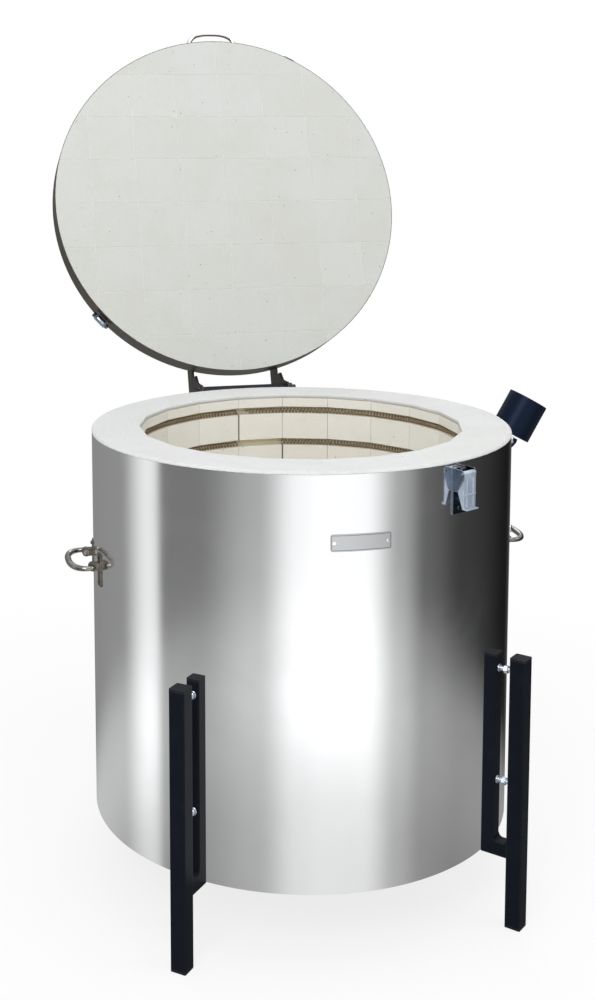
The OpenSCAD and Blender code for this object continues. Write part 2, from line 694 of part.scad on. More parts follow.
lever_len = latch_h - 20;
lever_barrel = latch_pin_d + 5;
module latch_lever() color("#c4cfdf") at_latch() translate([0, -latch_off, pivot_z]) difference() {
    union() {
        rotate([0, 90, 0]) cylinder(d = lever_barrel, h = 2 * lever_in, center = true, $fn = 48);
        translate([-lever_in, -lever_barrel / 2, -lever_len]) cube([2 * lever_in, lever_t, lever_len]);
        for (x = [-lever_in, lever_in - lever_t]) side_plate(x, lever_t) polygon([
            [0, 0], [lever_barrel / 2, 0], [lever_barrel / 2, -lever_len], [lever_barrel / 2 - 4, -lever_len],
            [claw_pivot[0] - 4, claw_pivot[1] - 6], [claw_pivot[0] - 4, claw_pivot[1] + 4]]);
        translate([-lever_in, -lever_barrel / 2 - 7, -lever_len]) cube([2 * lever_in, 8, lever_t]);
        translate([0, -claw_pivot[0], claw_pivot[1]]) rotate([0, 90, 0])
            cylinder(d = claw_pin_d, h = 2 * lever_in - 1, center = true, $fn = 48);
    }
    rotate([0, 90, 0]) cylinder(d = latch_pin_d + 2 * run, h = latch_w, center = true, $fn = 48);
}

claw_len = 26;
// Hooked plate that catches the lid's keeper
module latch_claw() color("#9fb0c8") at_latch()
    translate([0, -latch_off - claw_pivot[0], pivot_z + claw_pivot[1]]) difference() {
        union() {
            rotate([0, 90, 0]) cylinder(d = claw_pin_d + 4, h = claw_w, center = true, $fn = 48);
            side_plate(-claw_w / 2, claw_w) polygon([
                [-3, 0], [-1, 0], [-1, claw_len], [-5, claw_len], [-5, claw_len - 5], [-3, claw_len - 3]]);
        }
        rotate([0, 90, 0]) cylinder(d = claw_pin_d + 2 * run, h = claw_w + 2, center = true, $fn = 48);
    }

eye_len = 14;
eye_d = handle_rod_d + 7;
eye_plate_w = 18;
eye_plate_h = 62;
eye_az = asin(handle_eye_gap / 2 / jacket_r);

// Pivot line of a side handle, at the front
module at_handle(a) at_az(a) translate([0, -(jacket_r + handle_off), handle_z]) children();

// Two eye plates of a side handle
module handle_eyes(a) color("#5d574c") difference() {
    union() {
        for (s = [-1, 1]) {
            at_az(a + s * eye_az) saddle(jacket_r + seat, jacket_r + seat + 2.5, asin(eye_plate_w / 2 / jacket_r),
                handle_z - eye_plate_h * 0.62, eye_plate_h);
            at_handle(a) translate([s * handle_eye_gap / 2 - eye_len / 2, 0, 0]) rotate([0, 90, 0])
                cylinder(d = eye_d, h = eye_len, $fn = 48);
            at_handle(a) translate([s * handle_eye_gap / 2 - eye_len / 2, -1, -eye_d / 2 + 1])
                cube([eye_len, 2 * handle_off, eye_d - 2]);
            for (z = [-0.5, 0.28]) at_az(a + s * eye_az)
                dome(jacket_r + seat + 2.4, handle_z + z * eye_plate_h, 8, 3);
        }
    }
    translate([0, 0, handle_z - eye_plate_h]) cylinder(r = jacket_r + seat, h = 2 * eye_plate_h);
    at_handle(a) rotate([0, 90, 0])
        cylinder(d = handle_rod_d + 2 * run, h = handle_eye_gap + 4 * eye_len, center = true, $fn = 48);
}
module handle_eyes_left() handle_eyes(-90);
module handle_eyes_right() handle_eyes(90);

bail_r = 17;
// A bail whose ends turn inwards through the eyes
module side_handle(a) color("silver") at_handle(a) {
    half = handle_eye_gap / 2 + eye_len / 2 + loose + handle_rod_d / 2;
    reach = handle_reach - handle_rod_d / 2;
    union() {
        for (s = [-1, 1]) {
            translate([s * (handle_eye_gap / 2 - eye_len / 2), 0, 0]) rotate([0, s * 90, 0])
                cylinder(d = handle_rod_d, h = half - handle_eye_gap / 2 + eye_len / 2, $fn = 48);
            translate([s * half, 0, 0]) sphere(d = handle_rod_d, $fn = 48);
            translate([s * half, 0, 0]) rotate([90, 0, 0]) cylinder(d = handle_rod_d, h = reach - bail_r, $fn = 48);
            translate([s * (half - bail_r), bail_r - reach, 0]) rotate([0, 0, s > 0 ? -90 : 180])
                bend(bail_r, handle_rod_d, $fn = 48);
        }
        translate([0, -reach, 0]) rotate([0, 90, 0])
            cylinder(d = handle_rod_d, h = 2 * (half - bail_r), center = true, $fn = 48);
    }
}
module side_handle_left() side_handle(-90);
module side_handle_right() side_handle(90);

plate_t = 1;
plate_corner = 4;
plate_az = asin(plate_w / 2 / jacket_r);
plate_screw_az = asin((plate_w / 2 - 6) / jacket_r);
module nameplate() color("#9a9da3") intersection() {
    saddle(jacket_r + seat, jacket_r + seat + plate_t, plate_az, plate_z - plate_h / 2, plate_h);
    translate([0, -jacket_r + 20, plate_z]) rotate([90, 0, 0]) linear_extrude(60) union() {
        square([plate_w, plate_h - 2 * plate_corner], center = true);
        square([plate_w - 2 * plate_corner, plate_h], center = true);
        for (sx = [-1, 1], sy = [-1, 1])
            translate([sx * (plate_w / 2 - plate_corner), sy * (plate_h / 2 - plate_corner)])
                circle(r = plate_corner, $fn = 32);
    }
}
module nameplate_screws() color("silver")
    for (s = [-1, 1]) at_az(s * plate_screw_az) dome(jacket_r + 2 * seat + plate_t, plate_z, 6, 2);

vent_r = jacket_r + vent_d / 2 * cos(vent_lean) + vent_len / 2 * sin(vent_lean) + 1;
vent_z = rim_z - vent_drop;
module at_vent() at_az(vent_az) translate([0, -vent_r, vent_z]) rotate([vent_lean, 0, 0]) children();
module vent_tube() color("#14161c") at_vent() difference() {
    cylinder(d = vent_d, h = vent_len, center = true);
    cylinder(d = vent_d - 2 * vent_wall, h = vent_len + 2, center = true);
}

web_x = 18;
web_t = 3;
vent_plate_h = 95;
// Bracket that carries the vent tube on the jacket
module vent_bracket() color("#14161c") difference() {
    union() {
        at_az(vent_az) saddle(jacket_r + seat, jacket_r + seat + 2.5, 5, vent_z - vent_plate_h - 15, vent_plate_h);
        for (s = [-1, 1]) at_az(vent_az) translate([0, -jacket_r, 0]) side_plate(s * web_x - web_t / 2, web_t) polygon([
            [-5, vent_z - vent_plate_h], [-5, vent_z - 20], [10, vent_z - 15], [45, vent_z - 42], [40, vent_z - 52]]);
        for (z = [-vent_plate_h, -62]) at_az(vent_az) dome(jacket_r + seat + 2.4, vent_z + z, 10, 4);
    }
    translate([0, 0, vent_z - 200]) cylinder(r = jacket_r + seat, h = 300);
    at_vent() cylinder(d = vent_d + 2 * seat, h = vent_len + 10, center = true);
}

jacket();
jacket_bolts();
base_pan();
floor_board();
floor_slab();
fibre_blanket();
wall_course_bottom();
wall_course_middle();
wall_course_top();
rim_coat();
for (i = [0 : courses * grooves_per_course - 1])
    heating_coil(i);
lead_sleeves();
terminal_block();
terminal_cover();
cover_screws();
cable_gland();
thermocouple();
leg_front_left();
leg_front_right();
leg_rear_left();
leg_rear_right();
leg_caps();
foot_caps();
leg_bolts();
hinge_base();
hinge_pin();
hinge_arm_left();
hinge_arm_right();
arm_screws();
lid_slab();
lid_band();
lid_cover();
band_clamp();
lid_handle();
lid_keeper();
latch_base();
latch_lever();
latch_claw();
handle_eyes_left();
handle_eyes_right();
side_handle_left();
side_handle_right();
nameplate();
nameplate_screws();
vent_tube();
vent_bracket();
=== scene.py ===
import math
import bmesh
import bpy
from mathutils import Matrix, Vector, noise


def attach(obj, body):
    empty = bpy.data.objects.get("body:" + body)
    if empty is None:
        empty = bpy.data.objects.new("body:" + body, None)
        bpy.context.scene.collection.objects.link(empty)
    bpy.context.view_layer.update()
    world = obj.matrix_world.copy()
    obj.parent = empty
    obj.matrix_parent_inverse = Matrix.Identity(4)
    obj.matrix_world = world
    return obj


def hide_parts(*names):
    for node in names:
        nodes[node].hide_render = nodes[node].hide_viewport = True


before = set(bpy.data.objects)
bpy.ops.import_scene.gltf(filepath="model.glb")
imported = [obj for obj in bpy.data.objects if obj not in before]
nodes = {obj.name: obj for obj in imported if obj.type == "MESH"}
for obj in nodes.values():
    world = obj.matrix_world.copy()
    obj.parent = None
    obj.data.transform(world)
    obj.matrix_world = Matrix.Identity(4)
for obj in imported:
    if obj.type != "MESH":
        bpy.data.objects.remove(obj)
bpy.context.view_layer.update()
scene = bpy.context.scene
scene.view_settings.view_transform = "Standard"
print("frame loaded with", len(nodes), "nodes")

# camera of the photograph, metres and degrees
photoView = {"place": (-0.741, -2.600, 1.427), "heading": 12.2, "down": 6.51, "roll": -0.23,
             "lens": 50.58, "shiftX": 0.0878, "shiftY": -0.2004}


def aimCamera(v):
    h, d = math.radians(v["heading"]), math.radians(v["down"])
    ahead = Vector((math.cos(d) * math.sin(h), math.cos(d) * math.cos(h), -math.sin(d)))
    right = Vector((math.cos(h), -math.sin(h), 0))
    up = right.cross(ahead)
    data = bpy.data.cameras.new("photoCamera")
    data.lens = v["lens"]
    data.sensor_width = 36
    data.shift_x, data.shift_y = v["shiftX"], v["shiftY"]
    cam = bpy.data.objects.new("photoCamera", data)
    turn = Matrix((right, up, -ahead)).transposed().to_4x4()
    roll = Matrix.Rotation(math.radians(v["roll"]), 4, "Z")
    cam.matrix_world = Matrix.Translation(v["place"]) @ turn @ roll
    scene.collection.objects.link(cam)
    scene.camera = cam


aimCamera(photoView)
print("camera set")


# one socket of a node tree, with its maths written as plain expressions
class Wire:
    def __init__(self, tree, socket):
        self.tree, self.socket = tree, socket

    def maths(self, operation, other=None, flip=False):
        step = self.tree.nodes.new("ShaderNodeMath")
        step.operation = operation
        pair = (other, self) if flip else (self, other)
        for place, value in zip(step.inputs, pair):
            if isinstance(value, Wire):
                self.tree.links.new(value.socket, place)
            elif value is not None:
                place.default_value = value
        return Wire(self.tree, step.outputs[0])

    def __add__(self, other):
        return self.maths("ADD", other)

    def __radd__(self, other):
        return self.maths("ADD", other, True)

    def __sub__(self, other):
        return self.maths("SUBTRACT", other)

    def __rsub__(self, other):
        return self.maths("SUBTRACT", other, True)

    def __mul__(self, other):
        return self.maths("MULTIPLY", other)

    def __rmul__(self, other):
        return self.maths("MULTIPLY", other, True)

    def __truediv__(self, other):
        return self.maths("DIVIDE", other)


# a node tree under construction; put() adds any node and returns one of its outputs
class Maker:
    def __init__(self, tree):
        self.tree = tree

    def put(self, kind, settings=None, sockets=None, out=0):
        step = self.tree.nodes.new(kind)
        for name, value in (settings or {}).items():
            if name == "stops":
                ramp = step.color_ramp
                while len(ramp.elements) < len(value):
                    ramp.elements.new(1.0)
                for element, (place, tone) in zip(ramp.elements, value):
                    element.position = place
                    element.color = tone if isinstance(tone, tuple) else (tone, tone, tone, 1)
            elif name == "fade":
                step.color_ramp.interpolation = value
            else:
                setattr(step, name, value)
        for name, value in (sockets or {}).items():
            if isinstance(value, Wire):
                self.tree.links.new(value.socket, step.inputs[name])
            else:
                step.inputs[name].default_value = value
        return Wire(self.tree, step.outputs[out])

    def mixColour(self, share, a, b, blend="MIX"):
        step = self.tree.nodes.new("ShaderNodeMix")
        step.data_type, step.blend_type = "RGBA", blend
        for place, value in ((step.inputs[0], share), (step.inputs[6], a), (step.inputs[7], b)):
            if isinstance(value, Wire):
                self.tree.links.new(value.socket, place)
            else:
                place.default_value = value
        return Wire(self.tree, step.outputs[2])

    def spread(self, value, low, high, newLow, newHigh):
        return self.put("ShaderNodeMapRange", {"interpolation_type": "SMOOTHSTEP"}, {
            "Value": value, "From Min": low, "From Max": high, "To Min": newLow, "To Max": newHigh})


def rgb(r, g, b):
    return (r, g, b, 1.0)


# a finish: its shader, and a put() to build what feeds it
class Finish(Maker):
    def __init__(self, name, **plain):
        self.material = bpy.data.materials.new(name)
        self.material.use_nodes = True
        super().__init__(self.material.node_tree)
        self.tree.nodes.clear()
        self.shader = self.tree.nodes.new("ShaderNodeBsdfPrincipled")
        end = self.tree.nodes.new("ShaderNodeOutputMaterial")
        self.tree.links.new(self.shader.outputs[0], end.inputs[0])
        self.where = self.put("ShaderNodeTexCoord", out=3)
        for socket, value in plain.items():
            self.feed(socket, value)

    def feed(self, socket, value):
        place = self.shader.inputs[socket.replace("_", " ")]
        if isinstance(value, Wire):
            self.tree.links.new(value.socket, place)
        else:
            place.default_value = value

    def cloud(self, scale, detail=3.0, rough=0.5, where=None):
        return self.put("ShaderNodeTexNoise", None, {
            "Vector": where or self.where, "Scale": scale, "Detail": detail, "Roughness": rough})

    def relief(self, height, depth, strength=1.0):
        self.feed("Normal", self.put("ShaderNodeBump", None, {
            "Height": height, "Distance": depth, "Strength": strength}))


# soft studio: pale floor, plain lamps, and broad light and dark screens that only the metal sees
studio = {"floorTone": 0.93, "sky": 0.60, "cameraAzimuth": -15.9, "highScreen": 0.85, "floorGlow": 0.30,
          "nearFloor": 0.55, "footShade": 0.09, "sideDrop": 0.11, "dimLevels": (-0.44, -0.375),
          "glowLevels": (-0.36, -0.30), "footLevels": (-0.46, -0.39), "highLevels": (0.05, 0.55),
          "floorLift": (0.80, 1.0), "liftReach": (0.6, 2.0)}
# tone of the screens by angle round the kiln, from the camera's direction
screens = [(-180, 0.25), (-112, 0.30), (-88, 0.95), (-84, 0.90), (-77, 0.20), (-55, 0.20), (-22, 0.45),
           (0, 1.10), (12, 1.20), (34, 1.16), (54, 0.42), (70, 0.13), (96, 0.045), (150, 0.01), (180, 0.20)]
# place, aim, width and power of each lamp
lamps = {"keyLamp": ((-2.2, -3.4, 3.4), (0, 0, 0.8), 2.2, 88),
         "fillLamp": ((3.2, -2.2, 2.6), (0, 0, 0.7), 2.4, 20),
         "topLamp": ((0.2, -0.4, 4.2), (0, 0, 0.6), 2.6, 26),
         "backLamp": ((1.2, 3.6, 3.0), (0, 0, 0.7), 2.2, 28)}


def lightTheStudio(v):
    world = bpy.data.worlds.new("studioWorld")
    scene.world = world
    world.use_nodes = True
    m = Maker(world.node_tree)
    m.tree.nodes.clear()
    aim = m.put("ShaderNodeTexCoord", out=0)
    parts = m.tree.nodes.new("ShaderNodeSeparateXYZ")
    m.tree.links.new(aim.socket, parts.inputs[0])
    x, y, z = (Wire(m.tree, parts.outputs[i]) for i in range(3))
    azimuth = x.maths("ARCTAN2", 0 - y)
    turned = (azimuth - math.radians(v["cameraAzimuth"])) / (2 * math.pi) + 0.5
    share = turned.maths("WRAP", 1.0)
    share.socket.node.inputs[2].default_value = 0.0
    stops = [((angle + 180) / 360, tone) for angle, tone in screens]
    bands = m.put("ShaderNodeValToRGB", {"stops": stops, "fade": "EASE"}, {"Fac": share})
    # below the screens the metal sees a lit floor, darker close to the kiln and lower at the jacket's sides
    edge = share * 2 - 1
    level = z + edge * edge * v["sideDrop"]
    dim = m.spread(level, *v["dimLevels"], v["nearFloor"], 1.0)
    glow = m.spread(level, *v["glowLevels"], v["floorGlow"], 0)
    glow = glow - m.spread(level, *v["footLevels"], v["footShade"], 0)
    for value, blend in ((dim, "MULTIPLY"), (glow, "ADD")):
        grey = m.put("ShaderNodeCombineColor", None, dict.fromkeys((0, 1, 2), value))
        bands = m.mixColour(1.0, bands, grey, blend)
    high = m.spread(z, *v["highLevels"], 0.0, 1.0)
    bands = m.mixColour(high, bands, rgb(*(v["highScreen"],) * 3))
    ray = m.tree.nodes.new("ShaderNodeLightPath")
    isCamera = Wire(m.tree, ray.outputs["Is Camera Ray"])
    isGlossy = Wire(m.tree, ray.outputs["Is Glossy Ray"])
    tone = m.mixColour(isGlossy, rgb(*(v["sky"],) * 3), bands)
    tone = m.mixColour(isCamera, tone, rgb(1, 1, 1))
    back = m.put("ShaderNodeBackground", None, {"Color": tone})
    end = m.tree.nodes.new("ShaderNodeOutputWorld")
    m.tree.links.new(back.socket, end.inputs[0])

    floorMesh = bpy.data.meshes.new("studioFloor")
    floorMesh.from_pydata([(-9, -9, 0), (9, -9, 0), (9, 9, 0), (-9, 9, 0)], [], [(0, 1, 2, 3)])
    floor = bpy.data.objects.new("studioFloor", floorMesh)
    scene.collection.objects.link(floor)
    floor.location.z = -0.0005
    floor.visible_glossy = False
    paper = bpy.data.materials.new("studioPaper")
    paper.use_nodes = True
    f = Maker(paper.node_tree)
    f.tree.nodes.clear()
    chalk = f.put("ShaderNodeBsdfDiffuse", None, {"Color": rgb(*(v["floorTone"],) * 3)})
    glow = f.put("ShaderNodeEmission", None, {"Color": rgb(1, 1, 1)})
    ray = f.tree.nodes.new("ShaderNodeLightPath")
    away = f.put("ShaderNodeVectorMath", {"operation": "LENGTH"}, {0: f.put("ShaderNodeTexCoord", out=3)}, 1)
    lift = Wire(f.tree, ray.outputs["Is Camera Ray"]) * f.spread(away, *v["liftReach"], *v["floorLift"])
    both = f.put("ShaderNodeMixShader", None, {0: lift, 1: chalk, 2: glow})
    end = f.tree.nodes.new("ShaderNodeOutputMaterial")
    f.tree.links.new(both.socket, end.inputs[0])
    floorMesh.materials.append(paper)

    for name, (place, target, size, power) in lamps.items():
        lamp = bpy.data.lights.new(name, "AREA")
        lamp.size, lamp.energy = size, power
        body = bpy.data.objects.new(name, lamp)
        body.location = place
        body.rotation_mode = "QUATERNION"
        body.rotation_quaternion = (Vector(target) - Vector(place)).to_track_quat("-Z", "Y")
        scene.collection.objects.link(body)


lightTheStudio(studio)
print("studio lit")


# finishes
def polishedSteel():
    f = Finish("polishedSteel", Metallic=1.0)
    wave = f.cloud(1.6, 2.0)
    grainWhere = f.put("ShaderNodeMapping", None, {"Vector": f.where, "Scale": (900, 900, 6)})
    grain = f.cloud(1.0, 2.0, 0.6, grainWhere)
    smear = f.cloud(7.0, 4.0, 0.6)
    f.feed("Roughness", f.spread(smear, 0.35, 0.75, 0.10, 0.15) + grain * 0.03)
    f.feed("Base_Color", f.mixColour(wave, rgb(0.83, 0.84, 0.85), rgb(0.88, 0.88, 0.88)))
    f.relief(wave * 1.0 + grain * 0.002, 0.004, 0.25)
    return f.material


def chrome():
    f = Finish("brightChrome", Metallic=1.0)
    smear = f.cloud(60, 3.0)
    f.feed("Roughness", f.spread(smear, 0.3, 0.8, 0.06, 0.16))
    f.feed("Base_Color", f.mixColour(smear, rgb(0.86, 0.87, 0.88), rgb(0.78, 0.79, 0.81)))
    return f.material


# one where a rounded edge would catch the light
def edgeMark(f, radius):
    soft = f.put("ShaderNodeBevel", {"samples": 6}, {"Radius": radius})
    flat = f.put("ShaderNodeNewGeometry", out=3)
    match = f.put("ShaderNodeVectorMath", {"operation": "DOT_PRODUCT"}, {0: soft, 1: flat}, 1)
    return f.spread(match, 0.80, 0.99, 1.0, 0.0)


# plated steel, with a painted highlight along its rounded edges
def plated(name, tone, pale, wearAndHighlightTone, rough):
    f = Finish(name, Metallic=1.0)
    dust = f.cloud(140, 4.0)
    smear = f.cloud(28, 3.0, 0.6)
    colour = f.mixColour(f.spread(smear, 0.35, 0.7, 0, 1), rgb(*tone), rgb(*pale))
    # painted highlight: a pale tone on the rounded edges, where they would catch the light
    f.feed("Base_Color", f.mixColour(edgeMark(f, 0.0012), colour, rgb(*wearAndHighlightTone)))
    f.feed("Roughness", rough + dust * 0.1)
    f.relief(dust, 0.0001, 0.2)
    return f.material


def darkSteel(name, tone, wearAndHighlightTone, rough, metal=0.85):
    f = Finish(name, Metallic=metal)
    scuff = f.cloud(38, 5.0, 0.65)
    fine = f.cloud(700, 2.0)
    f.feed("Base_Color", f.mixColour(f.spread(scuff, 0.45, 0.75, 0, 0.8), rgb(*tone), rgb(*wearAndHighlightTone)))
    f.feed("Roughness", rough + fine * 0.12 + scuff * 0.1)
    f.relief(fine, 0.0002, 0.25)
    return f.material


def satinPaint(name, tone, wearAndHighlightTone, rough, metal=0.0):
    f = Finish(name, Specular_IOR_Level=0.10, Metallic=metal)
    peel = f.cloud(520, 2.0)
    rub = f.cloud(24, 5.0, 0.6)
    shade = f.mixColour(f.spread(rub, 0.5, 0.8, 0, 0.6), rgb(*tone), rgb(*wearAndHighlightTone))
    # painted highlight: three times the rubbed tone on the rounded edges, where they would catch the light;
    # the rubbed tone elsewhere is real wear
    f.feed("Base_Color", f.mixColour(edgeMark(f, 0.0015) * 0.5, shade, rgb(*(3 * c for c in wearAndHighlightTone))))
    f.feed("Roughness", rough + rub * 0.15)
    f.relief(peel, 0.0002, 0.22)
    return f.material


# porous insulating brick; cell gives each brick's number, its joints and what else tints it, painted shade
# and painted light among them
def fireBrick(name, tone, shade, speck, cell=None, pits=0.0009):
    f = Finish(name)
    grain = f.cloud(260, 5.0, 0.65)
    patch = f.cloud(9, 4.0, 0.55)
    holes = f.put("ShaderNodeTexVoronoi", None, {"Vector": f.where, "Scale": 330.0})
    coarse = f.put("ShaderNodeTexVoronoi", None, {"Vector": f.where, "Scale": 90.0})
    sparse = f.put("ShaderNodeTexVoronoi", None, {"Vector": f.where, "Scale": 38.0})
    pit = f.spread(holes, 0.10, 0.34, 0.0, 1.0)
    fleck = f.spread(coarse, 0.05, 0.11, 1.0, 0.0)
    hole = f.spread(sparse, 0.035, 0.06, 1.0, 0.0)
    colour = f.mixColour(f.spread(patch, 0.35, 0.7, 0, 1), rgb(*tone), rgb(*shade))
    if cell:
        number, tints = cell(f)
        own = f.put("ShaderNodeTexWhiteNoise", {"noise_dimensions": "3D"}, {"Vector": number})
        colour = f.mixColour(own * 0.75, colour, rgb(*shade))
        colour = f.mixColour(f.spread(own, 0.80, 0.92, 0, 0.4), colour, rgb(*(1.05 * c for c in tone)))
        for share, tint in tints:
            colour = f.mixColour(share, colour, rgb(*tint))
    colour = f.mixColour(f.spread(grain, 0.3, 0.75, 0.14, 0.0), colour, rgb(*speck))
    colour = f.mixColour(fleck * 0.3, colour, rgb(*speck))
    # sparse pits, dented and darkened: the brick's speck tone deepened with painted shade in the pits
    colour = f.mixColour(hole * 0.75, colour, rgb(*(0.35 * c for c in speck)))
    f.feed("Base_Color", colour)
    f.feed("Roughness", 0.88 + grain * 0.1)
    f.feed("Specular_IOR_Level", 0.2)
    f.relief(pit * 0.7 + grain * 0.6 - fleck * 0.6 - hole * 1.2, pits, 0.75)
    return f.material


wallRing = {"sides": 20, "courseHeight": 0.210, "wallTop": 0.868, "flat": 0.309, "joint": 0.010,
            "seam": 0.022, "firstGroove": 0.8415, "groovePitch": 0.070}
lidPlate = {"brick": 0.106, "hingeY": 0.455, "hingeZ": 0.860, "opened": 110.0, "joint": 0.007}


# one where a running count is within a joint's width of a whole number
def jointMark(f, count, width):
    off = 0.5 - (count.maths("FRACT") - 0.5).maths("ABSOLUTE")
    return f.spread(off, width * 0.5, width, 1.0, 0.0)


# which wall brick a point belongs to, by its side and course; grooves are baked yellow, and the joints where
# the wires leave the chamber carry painted shade, a dark gap
def wallCell(f):
    v = wallRing
    split = f.tree.nodes.new("ShaderNodeSeparateXYZ")
    f.tree.links.new(f.where.socket, split.inputs[0])
    x, y, z = (Wire(f.tree, split.outputs[i]) for i in range(3))
    side = x.maths("ARCTAN2", y) * (v["sides"] / (2 * math.pi)) + 0.5
    course = (v["wallTop"] - z) / v["courseHeight"]
    number = f.put("ShaderNodeCombineXYZ", None, {"X": side.maths("FLOOR"), "Y": course.maths("FLOOR")})
    aside = (side.maths("FRACT") - 0.5) * (2 * math.pi / v["sides"])
    depth = (x * x + y * y).maths("SQRT") * aside.maths("COSINE") - v["flat"]
    groove = f.spread(depth, 0.002, 0.006, 0.0, 0.45)
    second = v["firstGroove"] - v["groovePitch"]
    upper = z.maths("GREATER_THAN", second) * z.maths("LESS_THAN", v["firstGroove"])
    lower = z.maths("LESS_THAN", second) * z.maths("GREATER_THAN", second - v["groovePitch"])
    # painted shade: a dark gap at the joints where the wires leave the chamber
    paintedGapShade = (f.spread(side.maths("ABSOLUTE"), v["seam"] * 0.6, v["seam"], 1.0, 0.0) * upper
            + f.spread((side - 1).maths("ABSOLUTE"), v["seam"] * 0.6, v["seam"], 1.0, 0.0) * lower)
    return number, [(groove, (0.80, 0.70, 0.46)), (jointMark(f, side, v["joint"]) * 0.18, (0.40, 0.34, 0.25)),
                    (paintedGapShade * 0.85, (0.10, 0.075, 0.05))]


# which lid brick a point belongs to, with the lid turned back to its closed place; its joints carry painted
# light, a pale tone that cancels the shade in their grooves
def lidCell(f):
    angle = math.radians(lidPlate["opened"])
    hinge = Vector((0, lidPlate["hingeY"], lidPlate["hingeZ"]))
    shift = hinge - Matrix.Rotation(angle, 3, "X") @ hinge
    flat = f.put("ShaderNodeMapping", None, {"Vector": f.where, "Rotation": (angle, 0, 0), "Location": shift})
    split = f.tree.nodes.new("ShaderNodeSeparateXYZ")
    f.tree.links.new(flat.socket, split.inputs[0])
    across, along = (Wire(f.tree, split.outputs[i]) / lidPlate["brick"] for i in range(2))
    number = f.put("ShaderNodeCombineXYZ", None, {"X": across.maths("FLOOR"), "Y": along.maths("FLOOR")})
    # painted light: the joint grooves are lightened to cancel their shade
    paintedLightJoints = jointMark(f, across, lidPlate["joint"]).maths("MAXIMUM", jointMark(f, along, lidPlate["joint"]))
    return number, [(paintedLightJoints * 0.9, (0.93, 0.93, 0.91))]


def resistanceWire():
    f = Finish("resistanceWire", Metallic=0.75)
    scale = f.cloud(420, 4.0)
    f.feed("Base_Color", f.mixColour(scale, rgb(0.24, 0.17, 0.11), rgb(0.52, 0.42, 0.30)))
    f.feed("Roughness", 0.4 + scale * 0.25)
    return f.material


# bare brushed plate with a thin sunk border
barePlate = {"width": 0.108, "height": 0.030, "middle": 0.753, "aside": -0.0065, "border": 0.0022,
             "corner": 0.004, "inner": 0.4052, "outer": 0.4061, "columns": 96, "screwIn": 0.0065,
             "screwRadius": 0.0031, "screwTop": 0.4063}


def plateMetal(v):
    f = Finish("brushedPlate", Metallic=1.0)
    split = f.tree.nodes.new("ShaderNodeSeparateXYZ")
    f.tree.links.new(f.where.socket, split.inputs[0])
    x, z = Wire(f.tree, split.outputs[0]), Wire(f.tree, split.outputs[2])
    streakWhere = f.put("ShaderNodeMapping", None, {"Vector": f.where, "Scale": (30, 30, 2600)})
    streak = f.cloud(1.0, 3.0, 0.6, streakWhere)
    aside = v["width"] / 2 - (x - v["aside"]).maths("ABSOLUTE")
    upright = v["height"] / 2 - (z - v["middle"]).maths("ABSOLUTE")
    edge = aside.maths("MINIMUM", upright)
    line = (edge - v["border"]).maths("ABSOLUTE")
    mark = f.spread(line, 0.0002, 0.0006, 1.0, 0.0)
    f.feed("Base_Color", f.mixColour(mark, f.mixColour(streak, rgb(0.50, 0.51, 0.53), rgb(0.66, 0.67, 0.68)),
                                     rgb(0.12, 0.12, 0.13)))
    f.feed("Roughness", 0.3 + streak * 0.2)
    f.relief(streak * 0.3 - mark, 0.0003, 0.4)
    return f.material


def whiteFibre(name, tone, shade):
    f = Finish(name)
    strandWhere = f.put("ShaderNodeMapping", None, {"Vector": f.where, "Scale": (240, 240, 60)})
    strand = f.cloud(1.0, 6.0, 0.7, strandWhere)
    f.feed("Base_Color", f.mixColour(strand, rgb(*shade), rgb(*tone)))
    f.feed("Roughness", 0.9 + strand * 0.08)
    f.relief(strand, 0.0012, 0.6)
    return f.material


